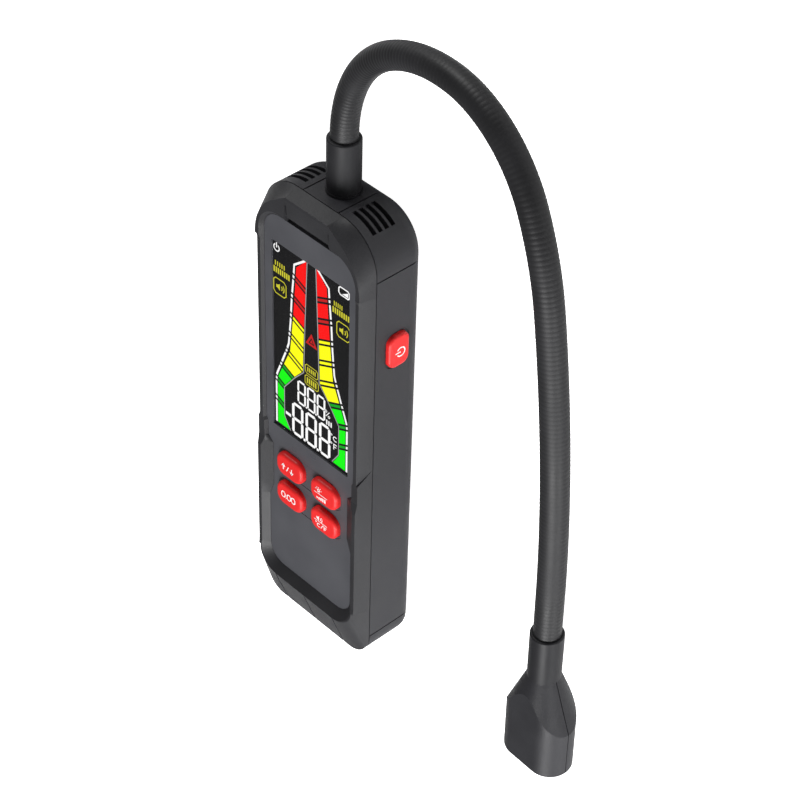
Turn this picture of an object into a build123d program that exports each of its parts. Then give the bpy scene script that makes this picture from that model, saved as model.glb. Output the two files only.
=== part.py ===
from build123d import *
import os
from math import cos, radians, sin, tan

# Gas leak detector: a flat hand-held housing with a display and keys, and a gooseneck that
# carries the sensor head. It lies on its back. Lengths are millimetres and angles degrees.
# x runs across the housing towards the power key, y along it towards the gooseneck and z
# out of the display. The origin is the middle of the back face.

os.makedirs("parts", exist_ok=True)

# Housing
body_width = 53.8
body_length = 187.7
body_depth = 26.0           # back face to the face of the front panel
seam_height = 21.4          # where the front and rear shells meet
wall = 2.2
top_radius = 16.0
bottom_radius = 8.5
back_edge_radius = 6.0
roof_slope = 0.5            # the roof falls away towards the back
roof_groove_inset = 2.48    # roof grooves lie this far inside the corner radii
groove_width = 0.5
groove_depth = 0.4
side_groove_inset = 1.7     # side grooves lie this far inside the corner radii
side_groove_foot = 1.5      # side grooves start this far above the back

# Frame of the front shell
ridge_height = 29.2         # top of the chin
seam_gap = 0.35
frame_slope_width = 2.9     # how far the frame's sides lean in from seam to ridge height
lobe_width = 1.0            # the grips stand this much wider than the waist
roof_lean = 1.4
knee_reach = (4.7, 6.2)     # how far the roof corner moves out and down at ridge height
shoulder_drop = 8.6
shoulder_radius = 22.0
hip_rise = 17.0
foot_reach = (2.9, 16.0)
hip_radius = 9.5
top_frame_height = 1.7      # heights of the frame above the front panel
waist_frame_height = 1.3
grip_frame_height = 2.1
visor_half = 10.3
visor_drop = 0.7
visor_length = 7.0
visor_recess = 2.8
visor_groove = 0.7
chin_foot_rise = 1.4        # upright strip of the chin above the seam
chin_grooves = 3
chin_groove_pitch = 15.2
chin_groove_width = 0.7
chin_groove_depth = 1.2

# Front panel
panel_thickness = 1.4
panel_half = 22.6
panel_fit = 0.15
panel_top_gap = 12.0        # roof to the panel's top edge
panel_top_radius = 8.0
panel_bottom_gap = 19.3
panel_bottom_radius = 7.0
panel_grip_half = 19.1      # the panel narrows between the grips
panel_foot_half = 21.1
panel_waist_half = 22.5
top_wall_run = 11.3         # the wide wall at the top runs out over this length of the sides
hollow_height = 4.2
# How far the hollow's walls lean out over its height
top_wall_lean = 5.0
waist_wall_lean = 2.0
grip_wall_lean = 9.0
foot_wall_lean = 5.0
chin_wall_lean = 4.2

# Display
display_width = 38.16
display_length = 80.0
display_drop = 23.2         # roof to the display's top edge
window_drop = 0.05          # the window lies this far below the panel's face
window_thickness = 0.4
print_thickness = 0.2
lcd_thickness = 2.8
display_fit = 0.08          # round the window and the liquid crystal
holder_rim = 1.0
deck_thickness = 2.0
# Artwork in percent of the display: places across it from its left edge, depths below its top.
# Gauge edges: depth, distance from the middle
gauge_outer = ((0.8, 7.6), (6.9, 20.2), (20.0, 22.3), (35.0, 24.9), (53.7, 29.1), (71.9, 44.8), (98.2, 45.9))
gauge_inner = ((0.8, 6.6), (25.0, 8.4), (60.0, 11.5), (75.6, 36.9), (92.1, 36.9), (98.2, 29.1))
red_end = 35.0
yellow_end = 64.4
gauge_gap = 0.5
# Digits: left edge, depth of the foot, width, height
small_digits = ((31.4, 79.1, 11.0, 12.5), (44.5, 79.1, 11.0, 12.5), (57.1, 79.1, 11.0, 12.5))
large_digits = ((24.1, 98.7, 14.7, 18.0), (41.9, 98.7, 15.2, 18.0), (60.3, 98.7, 15.2, 18.0))
small_stroke = 0.8
large_stroke = 1.1
minus_place = (15.7, 89.7)
minus_width = 2.6
minus_height = 1.0
point_places = ((40.4, 98.1), (58.7, 98.1))
point_size = 1.0

# Front keys
key_width = 13.4
key_height = 9.7
key_radius = 4.0
key_spread = 17.8           # between the centres of a row's two keys
key_pitch = 13.6            # between the two rows
first_key_drop = 13.8       # display's lower edge to the first row
key_proud = 2.2
key_fit = 0.15
key_flange = 0.75
key_flange_thickness = 1.2
key_travel = 0.8
plunger_radius = 1.7
plunger_fit = 0.1
key_row_margin = 0.7
key_row_radius = 4.2
island_drop = 0.1           # the strip round the keys lies this far below the panel's face
key_crown = 1.3
switch_gap = 0.05           # between a pressed key's plunger and its switch
switch_size = 6.0
switch_height = 1.4
switch_bore = 1.2

# Power key
power_key_drop = 49.3       # roof to the middle of the power key
power_key_height = 12.0
power_key_length = 13.0
power_key_width = 9.0
power_key_crown = 1.1
power_key_rim = 0.9         # shallow recess round the power key
power_key_rim_depth = 0.3
power_key_radius = 3.2
power_key_proud = 1.6
power_switch_length = 7.0
power_switch_depth = 5.0
power_switch_button = 1.2
power_plunger = 1.85        # length of the plunger behind the key's flange

# Main board and what stands on it
board_thickness = 1.6
board_half = 22.0
board_top_gap = 21.9        # roof to the board's top edge
bay_bottom_gap = 11.9       # foot to the battery bay
board_height = 17.4
board_rest = 1.1            # overlap of the board on the walls of the bay
ledge_length = 6.0
ledge_drop = 9.0            # board's top edge to the ledges that it lies on
ledge_height = 4.0
ledge_overlap = 1.5
buzzer_radius = 6.0
buzzer_height = 7.0
humidity_size = 5.0
humidity_height = 3.0
plug_size = 6.0
buzzer_reach = 13.0         # buzzer and humidity sensor stand this far from the middle

# Battery bay in the back
cell_radius = 7.2
cell_length = 50.5
cell_nub = 1.0
cell_nub_radius = 2.75
cell_count = 3
cell_gap = 0.25
contact_thickness = 0.3
contact_depth = 1.2
contact_size = 11.0
bay_wall = 1.5
cover_thickness = 2.1
cover_fit = 0.2
cover_length = 62.0
cover_half = 22.9
cover_screw_seat = 1.3      # depth of the recess for the cover screw's head
cover_screw_inset = 3.2     # wall of the bay to the middle of the cover's screw
cover_block = 9.0           # block above the bay that takes the cover's screw
cover_overlap = 0.9         # the cover reaches this far below the bay
cell_clearance = 0.15
rib_drop = 12.0             # cover's screw to the middle of the finger ribs
rib_count = 5
rib_pitch = 2.0
rib_length = 16.0
rib_width = 1.0
rib_depth = 0.4

# Case screws
screw_radius = 1.25
screw_head_radius = 2.3
screw_head_height = 1.8
screw_head_fit = 0.2
cross_length = 2.6
cross_width = 0.6
screw_seat = 5.2            # depth of the face that a case screw's head pulls on
screw_tip = 20.0
boss_radius = 2.9
rear_boss_radius = 3.3
upper_boss_inset = (10.3, 15.2)     # from the housing's side and roof
lower_boss_inset = (10.0, 7.3)      # from the housing's side and foot
post_split = 15.0           # where the two shells' screw bosses meet
boss_fit = 0.1
screw_fit = 0.05

# Vents
vent_count = 4
vent_width = 1.65
vent_pitch = 2.7
vent_start = 11.0
vent_end = 21.0
vent_reach = 11.0           # depth of the vents below the roof
vent_height = 13.25         # middle of the vents above the back

# Gooseneck
neck_height = 11.5          # axis of the gooseneck above the back, where it leaves the housing
neck_swing = 8.0            # the gooseneck's plane leans forward by this angle
neck_radius = 4.7
neck_wall = 1.4
hose_radius = 3.25
hose_wall = 0.75
lead_radius = 2.0
lead_fit = 0.1
neck_lead = 0.6             # straight length above the collar
neck_fit = 0.05
neck_insert = 14.0          # length that is hidden in each ferrule
neck_bends = ((49.6, 58.7), (63.0, 30.4), (43.9, 62.7), (107.0, 17.0), (580.0, 10.7))
neck_tail = 14.9

# Collar on the roof and ferrule on the head
collar_radius = 5.8
collar_length = 20.5
collar_lip = 0.6
collar_flange_radius = 6.0
collar_flange = 1.0
collar_seat_fit = 0.1
shank_radius = 5.0
shank_length = 11.0
shank_fit = 0.1
nut_across = 13.0
nut_height = 3.8
nut_drop = 6.5              # roof to the face that the nut pulls on
pad_radius = 7.5
ferrule_radius = 5.7
ferrule_length = 18.7
stub_radius = 4.2           # the ferrule's lower end, held between the halves of the head
stub_length = 6.0
stub_flange = 1.5
stub_flange_radius = 5.0
stub_fit = 0.1

# Sensor head
head_turn = 5.5             # turns the head's flat face away from the gooseneck's plane
head_width = 26.2
head_thickness = 15.8
head_length = 37.8
head_wall = 1.5
head_neck_radius = 5.7
head_flare = 21.4
head_edge = 1.0
head_split = 0.3
slot_width = 1.75
slot_pitch = 3.0
slot_start = 10.9
slot_heights = (15.2, 16.0, 14.9, 12.2, 9.0, 5.5, 2.0)
sensor_radius = 5.5
sensor_length = 9.0
sensor_flange = 0.5
slot_reach = 3.4            # depth of the slots into the head
head_board_width = 20.0
head_board_height = 11.4
head_board_thickness = 1.2
head_board_depth = 17.0

# Places that follow from these sizes
half_width = body_width / 2
roof = body_length / 2
foot = -body_length / 2
roof_half = half_width - top_radius - roof_groove_inset
roof_back = roof - seam_height * tan(radians(roof_slope))
frame_base = seam_height + seam_gap
chin_slope = (ridge_height - frame_base - chin_foot_rise) / foot_reach[1]
panel_floor = body_depth - panel_thickness
deck_floor = panel_floor - deck_thickness
panel_top = roof - panel_top_gap
panel_bottom = foot + panel_bottom_gap
display_top = roof - display_drop
display_bottom = display_top - display_length
display_middle = (display_top + display_bottom) / 2
board_face = board_height + board_thickness
plunger_tip = board_face + switch_height - 0.15
buzzer_y = display_top - 6.6
window_floor = body_depth - window_drop - window_thickness
lcd_face = window_floor - print_thickness
key_rows = [display_bottom - first_key_drop - row * key_pitch for row in range(2)]
key_columns = [-key_spread / 2, key_spread / 2]
key_names = [["level_key", "light_key"], ["zero_key", "sound_key"]]
power_key_y = roof - power_key_drop
shoulder_y = roof - top_radius
hip_y = foot + bottom_radius
upper_boss = (half_width - upper_boss_inset[0], roof - upper_boss_inset[1])
lower_boss = (half_width - lower_boss_inset[0], foot + lower_boss_inset[1])


def housing_outline(top, inset=0.0):
    """Outline of the housing: large radii at the roof, small ones at the foot."""
    height = top - foot - 2 * inset
    with BuildSketch(mode=Mode.PRIVATE) as outline:
        with Locations((0, (top + foot) / 2)):
            Rectangle(body_width - 2 * inset, height)
        fillet(outline.vertices().group_by(Axis.Y)[-1], top_radius - inset)
        fillet(outline.vertices().group_by(Axis.Y)[0], bottom_radius - inset)
    return outline.sketch


def frame_outline(roof_end, knee, shoulder, hip, foot_end, radii):
    """Outline of the front frame at one height, from five points of its right half."""
    with BuildSketch(mode=Mode.PRIVATE) as outline:
        with BuildLine():
            Line((0, roof_end[1]), roof_end)
            Line(roof_end, knee)
            RadiusArc(knee, shoulder, radii[0])
            Line(shoulder, hip)
            RadiusArc(hip, foot_end, radii[1])
            Line(foot_end, (0, foot_end[1]))
            mirror(about=Plane.YZ)
        make_face()
    return outline.sketch


def frame_form(lean):
    """Outer form of the front shell: it leans in from the seam to the height of its ridge."""
    side = half_width - lean
    knee_x = half_width - top_radius
    reach = chin_foot_rise / chin_slope
    with BuildPart(mode=Mode.PRIVATE) as form:
        with BuildSketch(Plane.XY.offset(frame_base)):
            add(frame_outline((roof_half, roof), (knee_x, roof), (half_width, shoulder_y),
                              (half_width, hip_y - reach), (half_width - bottom_radius, foot - reach),
                              (top_radius, bottom_radius)))
        with BuildSketch(Plane.XY.offset(ridge_height)):
            add(frame_outline((roof_half + roof_lean, roof - roof_lean),
                              (knee_x + knee_reach[0], roof - knee_reach[1]),
                              (side, shoulder_y - shoulder_drop), (side, foot + hip_rise + bottom_radius),
                              (half_width - bottom_radius - foot_reach[0], foot + foot_reach[1]),
                              (shoulder_radius, hip_radius)))
        loft(ruled=True)
        with BuildSketch(Plane.XY.offset(frame_base)):
            add(housing_outline(roof))
        extrude(amount=ridge_height - frame_base, mode=Mode.INTERSECT)
    return form.part


def across(points):
    """A side view, given as points in y and z, drawn through the whole width of the housing."""
    with BuildPart(mode=Mode.PRIVATE) as slab:
        with BuildSketch(Plane.YZ):
            with BuildLine():
                Polyline(*points, close=True)
            make_face()
        extrude(amount=body_width, both=True)
    return slab.part


def panel_outline(fit=0.0, lean=0.0):
    """Outline of the front panel, or of the hollow over it.

    The panel is narrow between the grips and round at its four corners. The hollow is wider by
    a fit all round, and by a share of its walls' lean, from none at the panel to one at its top.
    """
    keys_top = key_rows[0] + key_height / 2
    keys_bottom = key_rows[1] - key_height / 2
    top = panel_top + fit + lean * top_wall_lean
    top_half = panel_half + fit + lean * top_wall_lean
    waist_half = panel_waist_half + fit + lean * waist_wall_lean
    narrow_half = waist_half - 0.7
    grip_half = panel_grip_half + fit + lean * grip_wall_lean
    foot_half = panel_foot_half + fit + lean * foot_wall_lean
    bottom = panel_bottom - fit - lean * chin_wall_lean
    with BuildSketch(mode=Mode.PRIVATE) as outline:
        with BuildLine():
            Polyline((0, top), (top_half, top), (waist_half, panel_top - top_wall_run),
                     (waist_half - 0.05, display_bottom + 0.8), (narrow_half, display_bottom - 0.4),
                     (narrow_half - 0.05, keys_top + 2.0), (grip_half, keys_top - 0.4),
                     (grip_half, keys_bottom + 3.7), (foot_half, keys_bottom - 2.3),
                     (foot_half, bottom), (0, bottom))
            mirror(about=Plane.YZ)
        make_face()
        fillet(outline.vertices().group_by(Axis.Y)[-1], panel_top_radius + fit + lean * top_wall_lean)
        fillet(outline.vertices().group_by(Axis.Y)[0], panel_bottom_radius + fit + lean * chin_wall_lean)
    return outline.sketch


def key_island(row, inset=0.0):
    """Outline of the opening of one row of keys, or of the island in it."""
    with BuildSketch(mode=Mode.PRIVATE) as outline:
        with Locations((0, row)):
            RectangleRounded(key_spread + key_width + 2 * (key_row_margin - inset),
                             key_height + 2 * (key_row_margin - inset), key_row_radius - inset)
    return outline.sketch


def panel_hollow():
    """Space over the panel, with walls that lean outwards."""
    with BuildPart(mode=Mode.PRIVATE) as hollow:
        with BuildSketch(Plane.XY.offset(body_depth)):
            add(panel_outline(panel_fit))
        with BuildSketch(Plane.XY.offset(body_depth + hollow_height)):
            add(panel_outline(panel_fit, 1.0))
        loft(ruled=True)
    return hollow.part


# Front shell: a deck under the panel, inside a frame with a visor, grips and a chin
grip_start = display_bottom - 2.5
grip_run = 9.5
grip_end = foot + hip_rise + bottom_radius - 1.5
lobe_end = shoulder_y - 7.3
waist_band = [(grip_start, ridge_height + 1), (grip_start + grip_run, frame_base - 1),
              (lobe_end, frame_base - 1), (lobe_end, ridge_height + 1)]
foot_band = [(foot - 1, frame_base - 1), (grip_end, frame_base - 1),
             (grip_end, ridge_height + 1), (foot - 1, ridge_height + 1)]
frame_profile = [(foot - 1, seam_height), (foot - 1, ridge_height),
                 (foot + foot_reach[1], ridge_height),
                 (grip_end + 2.5, body_depth + grip_frame_height),
                 (key_rows[0] + 1.5, body_depth + grip_frame_height),
                 (key_rows[0] + 6.0, body_depth + waist_frame_height),
                 (lobe_end - 1.5, body_depth + waist_frame_height),
                 (lobe_end, body_depth + top_frame_height),
                 (roof + 1, body_depth + top_frame_height), (roof + 1, seam_height)]
grips = frame_form(frame_slope_width - lobe_width) - across(waist_band) - across(foot_band)
waist = frame_form(frame_slope_width)
waist = (waist & across(waist_band)) + (waist & across(foot_band))
boss_spots = [(side * x, y) for side in (-1, 1) for x, y in (upper_boss, lower_boss)]

with BuildPart() as front_shell:
    add(grips)
    add(waist)
    add(across(frame_profile), mode=Mode.INTERSECT)
    with BuildSketch(Plane.XY.offset(seam_height)):
        add(housing_outline(roof, seam_gap))
    extrude(amount=seam_gap)
    # Hollow above the panel, the panel's seat and the deep recess under the visor
    add(panel_hollow(), mode=Mode.SUBTRACT)
    with BuildSketch(Plane.XY.offset(panel_floor)):
        add(panel_outline(panel_fit))
    extrude(amount=panel_thickness, mode=Mode.SUBTRACT)
    visor_edge = panel_top + visor_recess
    with BuildSketch(Plane.XY.offset(deck_floor)):
        with Locations((0, panel_top)):
            Rectangle(2 * (visor_half + visor_groove), visor_recess, align=(Align.CENTER, Align.MIN))
    extrude(amount=body_depth + top_frame_height - deck_floor, mode=Mode.SUBTRACT)
    with BuildSketch(Plane.YZ):
        with BuildLine():
            top = body_depth + top_frame_height
            Polyline((visor_edge, top - visor_drop), (visor_edge + visor_length, top),
                     (visor_edge, top), close=True)
        make_face()
    extrude(amount=visor_half, both=True, mode=Mode.SUBTRACT)
    with BuildSketch(Plane.XY.offset(body_depth + top_frame_height)):
        with Locations((-visor_half, visor_edge), (visor_half, visor_edge)):
            Rectangle(visor_groove, 0.7 * visor_length, align=(Align.CENTER, Align.MIN))
    extrude(amount=-visor_drop - groove_depth, mode=Mode.SUBTRACT)
    # Slanting grooves in the chin
    with BuildSketch(Plane.XY.offset(seam_height)):
        with Locations((0, foot)):
            with GridLocations(chin_groove_pitch, 1, chin_grooves, 1):
                Rectangle(chin_groove_width, 2 * foot_reach[1] - 1)
    chin_cut = extrude(amount=ridge_height, mode=Mode.PRIVATE)
    chin_skin = across([(foot - 1, ridge_height + 1), (foot + foot_reach[1], ridge_height + 1),
                        (foot + foot_reach[1], ridge_height - chin_groove_depth),
                        (foot + chin_groove_depth, frame_base + chin_foot_rise - chin_groove_depth),
                        (foot + chin_groove_depth, frame_base), (foot - 1, frame_base)])
    add(chin_cut & chin_skin, mode=Mode.SUBTRACT)
    # Inside: hollow up to the deck, an island round each row of keys, openings for all
    with BuildSketch(Plane.XY.offset(seam_height)):
        add(housing_outline(roof, wall + 0.2))
    extrude(amount=deck_floor - seam_height, mode=Mode.SUBTRACT)
    with BuildSketch(Plane.XY.offset(panel_floor)):
        for row in key_rows:
            add(key_island(row, panel_fit))
    extrude(amount=panel_thickness - island_drop)
    with BuildSketch(Plane.XY.offset(deck_floor)):
        with Locations((0, display_middle)):
            Rectangle(display_width, display_length)
        for row in key_rows:
            with Locations(*[(column, row) for column in key_columns]):
                RectangleRounded(key_width + 2 * key_fit, key_height + 2 * key_fit, key_radius + key_fit)
    extrude(amount=panel_thickness + deck_thickness, mode=Mode.SUBTRACT)
    # Screw posts
    with BuildSketch(Plane.XY.offset(post_split + boss_fit)):
        with Locations(*boss_spots):
            Circle(boss_radius)
    extrude(amount=deck_floor - post_split - boss_fit)
    with BuildSketch(Plane.XY.offset(post_split + boss_fit)):
        with Locations(*boss_spots):
            Circle(screw_radius + screw_fit)
    extrude(amount=deck_floor - post_split - boss_fit, mode=Mode.SUBTRACT)
front_shell.part.label = "front_shell"
export_step(front_shell.part, "parts/front_shell.step")


# Rear shell: a tray with a sloping roof, vents at its upper corners and a battery bay
bay_half = (cell_count * (2 * cell_radius + cell_gap) + cell_gap) / 2
bay_bottom = foot + bay_bottom_gap
bay_length = cell_length + 2 * contact_depth
bay_top = bay_bottom + bay_length
bay_middle = (bay_bottom + bay_top) / 2
cover_bottom = bay_bottom - cover_overlap
cover_top = cover_bottom + cover_length
cover_middle = (cover_bottom + cover_top) / 2
cover_screw_y = bay_top + bay_wall + cover_screw_inset
cell_height = cover_thickness + cell_clearance + cell_radius
board_top = roof - board_top_gap
board_bottom = bay_bottom - board_rest
ledge_y = board_top - ledge_drop
nut_face = roof - nut_drop
roof_plane = Plane((0, roof_back, 0), x_dir=(1, 0, 0),
                   z_dir=(0, cos(radians(roof_slope)), -sin(radians(roof_slope))))


def roof_at(height):
    """How far up the sloping roof reaches at a height above the back."""
    return roof - (seam_height - height) * tan(radians(roof_slope))


def tray_form(floor, inset, radius):
    """The rear shell's outer form, or the space in it."""
    with BuildPart(mode=Mode.PRIVATE) as form:
        for height in (floor, seam_height):
            with BuildSketch(Plane.XY.offset(height)):
                add(housing_outline(roof_at(height), inset))
        loft(ruled=True)
        fillet(form.edges().group_by(Axis.Z)[0], radius)
    return form.part


tray = tray_form(0, 0, back_edge_radius)
collar_seat = roof_at(neck_height - collar_flange_radius)

with BuildPart() as rear_shell:
    add(tray)
    add(tray_form(wall, wall, back_edge_radius - wall), mode=Mode.SUBTRACT)
    # Pad for the nut, walls of the battery bay, block for the cover's screw, bosses and ledges
    with BuildSketch(Plane((0, nut_face, neck_height), x_dir=(1, 0, 0), z_dir=(0, 1, 0))):
        Circle(pad_radius)
    extrude(amount=roof_at(neck_height - pad_radius) - wall / 2 - nut_face)
    with BuildSketch(Plane.XY.offset(wall)):
        with Locations((0, bay_middle)):
            Rectangle(2 * (bay_half + bay_wall), bay_length + 2 * bay_wall)
            Rectangle(2 * bay_half, bay_length, mode=Mode.SUBTRACT)
        with Locations((0, bay_top + bay_wall)):
            Rectangle(cover_block, 2 * cover_screw_inset, align=(Align.CENTER, Align.MIN))
    extrude(amount=board_height - wall)
    with BuildSketch(Plane.XY.offset(wall / 2)):
        with Locations(*boss_spots):
            Circle(rear_boss_radius)
    extrude(amount=post_split - wall / 2)
    with BuildSketch(Plane.XY.offset(board_height - ledge_height)):
        for side in (-1, 1):
            with Locations((side * (half_width - wall / 2), ledge_y)):
                Rectangle(2 * (half_width - wall / 2 - board_half + ledge_overlap), ledge_length)
    add(extrude(amount=ledge_height, mode=Mode.PRIVATE) & tray)
    # Openings: battery bay, screws, collar, power key and vents
    with BuildSketch(Plane.XY):
        with Locations((0, cover_middle)):
            Rectangle(2 * (cover_half + cover_fit), cover_length + 2 * cover_fit)
    extrude(amount=wall, mode=Mode.SUBTRACT)
    with BuildSketch(Plane.XY):
        with Locations((0, bay_middle)):
            Rectangle(2 * bay_half, bay_length)
    extrude(amount=board_height, mode=Mode.SUBTRACT)
    with BuildSketch(Plane.XY):
        with Locations(*boss_spots):
            Circle(screw_head_radius + screw_head_fit)
    extrude(amount=screw_seat, mode=Mode.SUBTRACT)
    with BuildSketch(Plane.XY):
        with Locations(*boss_spots, (0, cover_screw_y)):
            Circle(screw_radius + screw_fit)
    extrude(amount=post_split, mode=Mode.SUBTRACT)
    with BuildSketch(Plane((0, nut_face, neck_height), x_dir=(1, 0, 0), z_dir=(0, 1, 0))):
        Circle(shank_radius + shank_fit)
    extrude(amount=nut_drop, mode=Mode.SUBTRACT)
    with BuildSketch(Plane((0, collar_seat, neck_height), x_dir=(1, 0, 0), z_dir=(0, 1, 0))):
        Circle(collar_flange_radius + collar_seat_fit)
    extrude(amount=nut_drop, mode=Mode.SUBTRACT)
    with BuildSketch(Plane.YZ.offset(half_width)):
        with Locations((power_key_y, power_key_height)):
            RectangleRounded(power_key_length + 2 * power_key_rim, power_key_width + 2 * power_key_rim,
                             power_key_radius + power_key_rim)
    extrude(amount=-power_key_rim_depth, mode=Mode.SUBTRACT)
    with BuildSketch(Plane.YZ.offset(half_width)):
        with Locations((power_key_y, power_key_height)):
            RectangleRounded(power_key_length + 2 * key_fit, power_key_width + 2 * key_fit,
                             power_key_radius + key_fit)
    extrude(amount=-wall - key_fit, mode=Mode.SUBTRACT)
    vent_middle = (vent_start + vent_end) / 2
    with BuildSketch(Plane.XZ.offset(-roof)):
        for side in (-1, 1):
            with Locations((side * vent_middle, vent_height)):
                with GridLocations(1, vent_pitch, 1, vent_count):
                    Rectangle(vent_end - vent_start, vent_width)
    extrude(amount=vent_reach, mode=Mode.SUBTRACT)
    # Grooves in the sides and in the roof
    for side in (-1, 1):
        with BuildSketch(Plane.YZ.offset(side * half_width)):
            for y in (shoulder_y - side_groove_inset, hip_y + side_groove_inset):
                with Locations((y, seam_height)):
                    Rectangle(groove_width, 2 * (seam_height - side_groove_foot))
        extrude(amount=-side * groove_depth, mode=Mode.SUBTRACT)
    with BuildSketch(roof_plane):
        with Locations((-roof_half, -seam_height / 2), (roof_half, -seam_height / 2)):
            Rectangle(groove_width, 2 * seam_height)
    extrude(amount=-groove_depth, mode=Mode.SUBTRACT)
rear_shell.part.label = "rear_shell"
export_step(rear_shell.part, "parts/rear_shell.step")

# Cover of the battery bay, with its screw's head let in
with BuildPart() as battery_cover:
    with BuildSketch(Plane.XY):
        with Locations((0, cover_middle)):
            Rectangle(2 * cover_half, cover_length)
    extrude(amount=cover_thickness)
    add(tray, mode=Mode.INTERSECT)
    with BuildSketch(Plane.XY):
        with Locations((0, cover_screw_y)):
            Circle(screw_head_radius + screw_head_fit)
    extrude(amount=cover_screw_seat, mode=Mode.SUBTRACT)
    with BuildSketch(Plane.XY):
        with Locations((0, cover_screw_y)):
            Circle(screw_radius + screw_fit)
    extrude(amount=cover_thickness, mode=Mode.SUBTRACT)
    # Finger ribs near the screw
    with BuildSketch(Plane.XY):
        with Locations((0, cover_screw_y - rib_drop)):
            with GridLocations(1, rib_pitch, 1, rib_count):
                SlotOverall(rib_length, rib_width)
    extrude(amount=rib_depth, mode=Mode.SUBTRACT)
battery_cover.part.label = "battery_cover"
export_step(battery_cover.part, "parts/battery_cover.step")

# Front panel with its openings for the display and the keys
with BuildPart() as front_panel:
    with BuildSketch(Plane.XY.offset(panel_floor)):
        add(panel_outline())
        with Locations((0, display_middle)):
            Rectangle(display_width, display_length, mode=Mode.SUBTRACT)
        for row in key_rows:
            add(key_island(row), mode=Mode.SUBTRACT)
    extrude(amount=panel_thickness)
front_panel.part.label = "front_panel"
export_step(front_panel.part, "parts/front_panel.step")

# Display: window, printed gauge and marks, liquid crystal cell and the holder under it
with BuildPart() as display_window:
    with BuildSketch(Plane.XY.offset(window_floor)):
        with Locations((0, display_middle)):
            Rectangle(display_width - 2 * display_fit, display_length - 2 * display_fit)
    extrude(amount=window_thickness)
display_window.part.label = "display_window"
export_step(display_window.part, "parts/display_window.step")

with BuildPart() as lcd_module:
    with BuildSketch(Plane.XY.offset(lcd_face - lcd_thickness)):
        with Locations((0, display_middle)):
            Rectangle(display_width - 2 * display_fit, display_length - 2 * display_fit)
    extrude(amount=lcd_thickness)
lcd_module.part.label = "lcd_module"
export_step(lcd_module.part, "parts/lcd_module.step")

with BuildPart() as display_holder:
    with BuildSketch(Plane.XY.offset(board_face)):
        with Locations((0, display_middle)):
            Rectangle(display_width + 2 * holder_rim, display_length + 2 * holder_rim)
            Rectangle(display_width - 2 * holder_rim, display_length - 2 * holder_rim, mode=Mode.SUBTRACT)
    extrude(amount=lcd_face - lcd_thickness - board_face)
display_holder.part.label = "display_holder"
export_step(display_holder.part, "parts/display_holder.step")


def drawn(across_share, depth_share):
    """A point of the artwork from its percentages of the display."""
    return (across_share / 100 * display_width - display_width / 2,
            display_top - depth_share / 100 * display_length)


def gauge_band(start, end):
    """One colour of the gauge: two mirrored strips between two depths below the display's top."""
    sides = []
    for edge in (gauge_outer, gauge_inner):
        depths = sorted({start, end} | {depth for depth, _ in edge if start < depth < end})
        sides.append([drawn(50 + reach_at(edge, depth), depth) for depth in depths])
    with BuildPart(mode=Mode.PRIVATE) as band:
        with BuildSketch(Plane.XY.offset(lcd_face)):
            with BuildLine():
                Polyline(*sides[0], *reversed(sides[1]), close=True)
            make_face()
            mirror(about=Plane.YZ)
        extrude(amount=print_thickness)
    return band.part


def reach_at(edge, depth):
    """Distance of a gauge edge from the display's middle at a depth below its top."""
    for (low, low_reach), (high, high_reach) in zip(edge, edge[1:]):
        if low <= depth <= high:
            return low_reach + (high_reach - low_reach) * (depth - low) / (high - low)
    return edge[-1][1]


with BuildPart() as gauge_red:
    add(gauge_band(gauge_outer[0][0], red_end - gauge_gap / 2))
gauge_red.part.label = "gauge_red"
export_step(gauge_red.part, "parts/gauge_red.step")

with BuildPart() as gauge_yellow:
    add(gauge_band(red_end + gauge_gap / 2, yellow_end - gauge_gap / 2))
gauge_yellow.part.label = "gauge_yellow"
export_step(gauge_yellow.part, "parts/gauge_yellow.step")

with BuildPart() as gauge_green:
    add(gauge_band(yellow_end + gauge_gap / 2, gauge_outer[-1][0]))
gauge_green.part.label = "gauge_green"
export_step(gauge_green.part, "parts/gauge_green.step")


def figure_eight(left, foot_depth, width, height, stroke):
    """A digit of seven strokes, drawn as its outline with two windows."""
    wide, high = width / 100 * display_width, height / 100 * display_length
    x, y = drawn(left, foot_depth)
    with BuildSketch(mode=Mode.PRIVATE) as digit:
        with Locations((x, y)):
            Rectangle(wide, high, align=(Align.MIN, Align.MIN))
        with Locations((x + stroke, y + stroke), (x + stroke, y + high / 2 + stroke / 2)):
            Rectangle(wide - 2 * stroke, (high - 3 * stroke) / 2, align=(Align.MIN, Align.MIN),
                      mode=Mode.SUBTRACT)
    return digit.sketch


# The reading of the liquid crystal: a small and a large row of three eights, and a minus sign
with BuildPart() as display_digits:
    with BuildSketch(Plane.XY.offset(lcd_face)):
        for places, stroke in ((small_digits, small_stroke), (large_digits, large_stroke)):
            for place in places:
                add(figure_eight(*place, stroke))
        with Locations(drawn(*minus_place)):
            Rectangle(minus_width, minus_height, align=(Align.MIN, Align.CENTER))
        with Locations(*[drawn(*place) for place in point_places]):
            Rectangle(point_size, point_size)
    extrude(amount=print_thickness)
display_digits.part.label = "display_digits"
export_step(display_digits.part, "parts/display_digits.step")


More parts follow.
